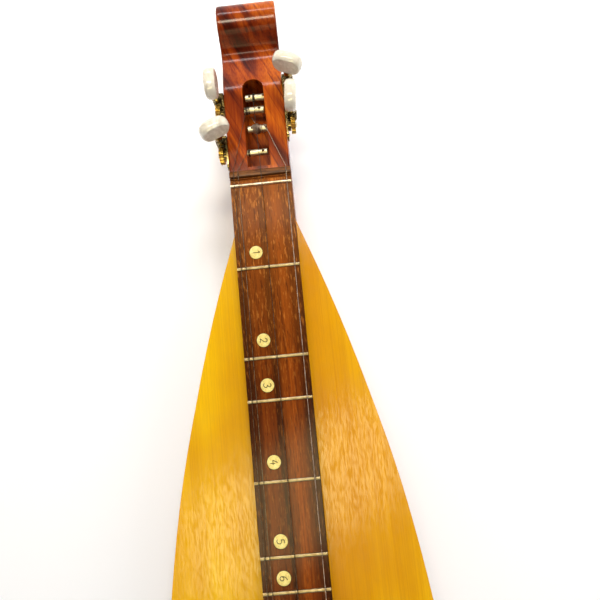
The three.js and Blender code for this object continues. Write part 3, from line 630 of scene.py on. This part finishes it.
def add_dots():
    """A dot, its glue line and its numeral beside each fret."""
    ivory = bone()
    glue = char("glue_line", (26, 12, 5), (52, 26, 12))
    burn = char("burned_numeral", (46, 38, 16), (84, 72, 34))
    for number in range(1, FRET_COUNT + 1):
        low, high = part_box(f"fret_{number:02d}")
        gap = DOT_GAPS[min(number, len(DOT_GAPS)) - 1] * MM
        if number > len(DOT_GAPS):
            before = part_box(f"fret_{number - 1:02d}")[0].y
            gap = min(gap, (before - high.y) / 2)
        centre = Vector((DOT_X, (low.y + high.y) / 2 + gap, board_top))
        profile = [
            (0, DOT_RISE), (0.5 * DOT_RADIUS, DOT_RISE * 0.92),
            (0.85 * DOT_RADIUS, DOT_RISE * 0.72), (0.96 * DOT_RADIUS, DOT_RISE * 0.5),
            (DOT_RADIUS, 0.01 * MM), (DOT_RADIUS, -DOT_DEPTH)]
        dot = lathe(f"dot_{number:02d}", profile, ivory, 64)
        dot.location = centre
        ring_profile = [
            (0, GLUE_RISE), (DOT_RADIUS + 0.22 * MM, GLUE_RISE), (DOT_RADIUS + GLUE_WIDTH, 0),
            (DOT_RADIUS + GLUE_WIDTH, -GLUE_DEPTH)]
        ring = lathe(f"dot_{number:02d}_glue_line", ring_profile, glue, 64)
        ring.location = centre
        size = ONE_FIGURE if number < 10 else TWO_FIGURES
        crest = centre + Vector((0, 0, DOT_RISE * 0.95))
        mark = numeral(f"dot_{number:02d}_numeral", str(number), crest, size, burn)
        for piece in (dot, ring, mark):
            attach(piece, "instrument")


# ---------------------------------------------------------------- strings at the rollers

POST_RADIUS = 2.4 * MM

TURN_POINTS = 24
LAYER_STEP = 1.75  # how far a layer lies above the one below, in wire radii
WIRE_GAP = 0.01 * MM

WIRE_RADIUS = {
    "string_melody_outer": 0.15 * MM, "string_melody_inner": 0.15 * MM,
    "string_middle": 0.18 * MM, "string_bass": 0.28 * MM,
}

# For each string its tuner, its turns around the roller as (turns, x where they end in mm, layer),
# and where its loose end points, in mm.
WINDINGS = {
    "string_middle": ("tuner_1", [(1.5, -1.3, 0), (5, 0.6, 0), (3, -0.6, 1)], (1.4, 4.0, -0.6)),
    "string_melody_outer": ("tuner_2", [(5, -7.3, 0), (1.5, -5.0, 1), (3, -4.0, 0)],
                            (0.3, 4.6, 0.8)),
    "string_bass": ("tuner_3", [(1.2, 3.2, 0), (10, -2.8, 0), (7, 1.6, 1), (3, -0.4, 2)],
                    (-2.4, 4.6, 0.4)),
    "string_melody_inner": ("tuner_4", [(4, -7.5, 0)], (0.6, 3.0, -2.0)),
}


def on_roller(axis, x, radius, angle):
    """The point at that angle around a roller, from straight up towards the scroll."""
    return Vector((x, axis.y + radius * math.sin(angle), axis.z + radius * math.cos(angle)))


def add_windings(slots):
    """Winds each string's end around its roller. A winding turns with the roller."""
    for string, (tuner, runs, tip) in WINDINGS.items():
        axis = Vector(joints[f"{tuner}_roller_turn"]["pos_m"])
        start = end_of(string, 1)
        wire = WIRE_RADIUS[string]
        touch = POST_RADIUS + wire + WIRE_GAP
        reach = start.z - axis.z
        line = []
        angle = 0.0
        x = start.x
        grown = 0.0
        for turns, end_x, layer in runs:
            steps = max(8, round(turns * TURN_POINTS))
            first = (x, angle, grown)
            for step in range(steps):
                share = step / steps
                x = first[0] + (end_x * MM - first[0]) * share
                angle = first[1] + turns * 2 * math.pi * share
                climb = min(1.0, share * turns * 2)
                grown = first[2] + (layer * LAYER_STEP * wire - first[2]) * climb
                ease = max(0.0, 1 - angle / (0.5 * math.pi))
                radius = touch + grown + (reach - touch) * ease
                line.append(on_roller(axis, x, radius, angle))
            x = end_x * MM
            angle = first[1] + turns * 2 * math.pi
        radius = touch + grown
        last = on_roller(axis, x, radius, angle)
        ahead = Vector((0, math.cos(angle), -math.sin(angle)))
        free = last + Vector(tip) * MM
        line += curve_through([last, last + ahead * 1.2 * MM, last.lerp(free, 0.7), free], 6)
        slot = "bronze" if string == "string_bass" else "steel"
        coil = tube(f"{string}_winding", line, wire, slots[slot], 10)
        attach(coil, f"{tuner}_roller")


# ---------------------------------------------------------------- screws

def screw_mesh(material):
    """A domed screw head of radius 1 mm, with a cut slot, standing on Z = 0."""
    profile = [
        (0, 0.62), (0.3, 0.6), (0.6, 0.5), (0.82, 0.34), (0.95, 0.16), (1.0, 0.05), (0.97, 0),
        (0.5, -0.02)]
    scaled = [(radius * MM, height * MM) for radius, height in profile]
    head = lathe("screw_head", scaled, material, 36)
    reach = 2 * MM
    half = 0.16 * MM
    floor = 0.3 * MM
    corners = [
        Vector((x, y, z)) for x in (-reach, reach) for y in (-half, half) for z in (floor, reach)]
    faces = [(0, 1, 3, 2), (4, 6, 7, 5), (0, 4, 5, 1), (2, 3, 7, 6), (0, 2, 6, 4), (1, 5, 7, 3)]
    blade = add_mesh("screw_blade", corners, faces, material, False)
    cut = head.modifiers.new("slot", "BOOLEAN")
    cut.object = blade
    cut.operation = "DIFFERENCE"
    cut.solver = "EXACT"
    bpy.context.view_layer.update()
    shaped = head.evaluated_get(bpy.context.evaluated_depsgraph_get())
    mesh = bpy.data.meshes.new_from_object(shaped)
    mesh.name = "slotted_screw"
    bpy.data.objects.remove(head)
    bpy.data.objects.remove(blade)
    return mesh


def add_screw(name, mesh, place, side, size, turn, body):
    """A screw head that faces outwards along X; size is its radius in mm, turn is in degrees."""
    item = bpy.data.objects.new(name, mesh)
    bpy.context.scene.collection.objects.link(item)
    facing = Matrix.Rotation(side * math.pi / 2, 4, "Y")
    spin = Matrix.Rotation(math.radians(turn), 4, "Z")
    item.matrix_world = Matrix.Translation(place) @ facing @ spin @ Matrix.Scale(size, 4)
    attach(item, body)


PLATE_SCREW = 1.55
GEAR_SCREW = 2.3


def add_screws(slots):
    """Two screws on each tuner's plate, and one that holds its gear and turns with it."""
    mesh = screw_mesh(slots["nickel"])
    lobe = 4 * MM
    sheet = 1.2 * MM
    for index, tuner in enumerate(TUNERS):
        axis = Vector(joints[f"{tuner}_roller_turn"]["pos_m"])
        side = 1 if axis.x > 0 else -1
        low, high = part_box(f"{tuner}_plate")
        face = side * (min(abs(low.x), abs(high.x)) + sheet)
        places = [(low.y + lobe, axis.z + 0.5 * MM), (high.y - lobe, low.z + lobe)]
        for number, (y, z) in enumerate(places, 1):
            add_screw(f"{tuner}_plate_screw_{number}", mesh, Vector((face, y, z)), side,
                      PLATE_SCREW, 25 + 67 * index + 50 * number, "instrument")
        gear_low, gear_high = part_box(f"{tuner}_gear")
        outside = side * max(abs(gear_low.x), abs(gear_high.x))
        add_screw(f"{tuner}_gear_screw", mesh, Vector((outside, axis.y, axis.z)), side,
                  GEAR_SCREW, 40 + 31 * index, f"{tuner}_roller")


# ---------------------------------------------------------------- string loops on the tail pins

TAIL_PINS = {
    "string_melody_outer": 1, "string_melody_inner": 2, "string_middle": 3, "string_bass": 4,
}
PIN_RADIUS = 1.1 * MM
LOOP_POINTS = 40
LOOP_WIRE = 0.12 * MM
TWIST_POINTS = 90
TWIST_TURN_POINTS = 12
TWIST_STEP = 0.08 * MM
TWIST_GAP = 0.09 * MM


def add_tail_loops(slots):
    """A loop around each tail pin, whose end is twisted around the string itself."""
    for string, number in TAIL_PINS.items():
        low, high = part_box(f"tail_pin_{number}")
        middle = (low + high) / 2
        wire = WIRE_RADIUS[string]
        y = end_of(string, -1).y
        ring = PIN_RADIUS + wire + 0.02 * MM
        line = []
        for step in range(LOOP_POINTS + 1):
            angle = 2 * math.pi * step / LOOP_POINTS
            line.append(Vector((middle.x + ring * math.sin(angle),
                                y - 0.1 * MM * math.sin(angle / 2),
                                middle.z + ring * math.cos(angle))))
        around = wire + TWIST_GAP
        for step in range(TWIST_POINTS):
            angle = 2 * math.pi * step / TWIST_TURN_POINTS
            line.append(Vector((middle.x + around * math.sin(angle),
                                y + around * math.cos(angle) * 0.9,
                                middle.z + ring + step * TWIST_STEP)))
        loop = tube(f"{string}_tail_loop", line, min(wire, LOOP_WIRE), slots["steel"], 8)
        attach(loop, "instrument")


# ---------------------------------------------------------------- studio

FLOOR_HALF = 8.0

# The world's strength by the Y of the direction: weaker towards the tail, stronger past the scroll.
WORLD_Y = (-0.8, 0.8)
WORLD_STRENGTH = (0.45, 0.95)
WORLD_PALE = (0.98, 0.99, 1.02, 1)
WORLD_DARK = (0.1, 0.1, 0.105, 1)


def add_light(name, place, target, size, power, mirrored=True, lighting=True, colour=(1, 1, 1)):
    """A rectangular lamp in metres and watts. If not mirrored, reflections don't show it;
    if not lighting, it shows in reflections only."""
    data = bpy.data.lights.new(name, "AREA")
    data.shape = "RECTANGLE"
    data.size = size[0]
    data.size_y = size[1]
    data.energy = power
    data.color = colour
    lamp = bpy.data.objects.new(name, data)
    lamp.location = place
    lamp.rotation_euler = (Vector(target) - Vector(place)).to_track_quat("-Z", "Y").to_euler()
    lamp.visible_glossy = mirrored
    lamp.visible_diffuse = lighting
    bpy.context.scene.collection.objects.link(lamp)


def add_world():
    """A pale world, darker overhead, so that polished tops don't turn white."""
    world = bpy.data.worlds.new("studio")
    world.use_nodes = True
    tree = world.node_tree
    shade = tree.nodes["Background"]
    split = tree.nodes.new("ShaderNodeSeparateXYZ")
    sky = tree.nodes.new("ShaderNodeValToRGB")
    side = tree.nodes.new("ShaderNodeMapRange")
    tree.links.new(tree.nodes.new("ShaderNodeTexCoord").outputs["Generated"], split.inputs[0])
    tree.links.new(split.outputs["Z"], sky.inputs[0])
    tree.links.new(split.outputs["Y"], side.inputs[0])
    tree.links.new(sky.outputs[0], shade.inputs[0])
    tree.links.new(side.outputs[0], shade.inputs[1])
    for socket, value in enumerate(WORLD_Y + WORLD_STRENGTH, 1):
        side.inputs[socket].default_value = value
    sky.color_ramp.elements[0].position = 0.3
    sky.color_ramp.elements[0].color = WORLD_PALE
    sky.color_ramp.elements[1].position = 0.85
    sky.color_ramp.elements[1].color = WORLD_DARK
    bpy.context.scene.world = world


def add_studio():
    """Floor, world and lamps. The strips and the window are placed for their reflections."""
    signs = ((-1, -1), (1, -1), (1, 1), (-1, 1))
    corners = [Vector((x * FLOOR_HALF, y * FLOOR_HALF, 0)) for x, y in signs]
    floor = add_mesh("floor", corners, [(0, 1, 2, 3)], backdrop(), False)
    add_world()
    add_light("key", (0.34, 1.25, 1.2), (0, 0.1, 0.04), (0.5, 0.4), 14, mirrored=False)
    add_light("side", (1.25, 0.1, 1.0), (0, 0.05, 0.04), (0.9, 0.9), 5, mirrored=False)
    add_light("dome", (0, 0, 2.4), (0, 0, 0), (3.0, 3.0), 13, mirrored=False)
    crown = Vector((-0.06, nut_zero + 116 * MM, board_top + 6 * MM))
    high = crown + Vector((0, 0.18, 0.87))
    low = crown + Vector((0, 0.64, 0.62))
    add_light("strip_high", high, crown, (0.5, 0.13), 4.2, colour=(1.0, 0.88, 0.66))
    add_light("strip_low", low, crown, (0.56, 0.06), 1.2)
    window = Vector((-0.08, nut_zero - 0.565, board_top + 1.0))
    aim = Vector((-0.24, nut_zero - 0.232, board_top))
    add_light("window", window, aim, (0.75, 0.3), 5.2, lighting=False, colour=(1.0, 0.9, 0.45))
    bpy.context.scene.view_settings.view_transform = "Standard"


# ---------------------------------------------------------------- assembly

add_camera()
slots = dress_cad()
add_dots()
add_windings(slots)
add_screws(slots)
add_tail_loops(slots)
add_studio()

bpy.context.view_layer.update()
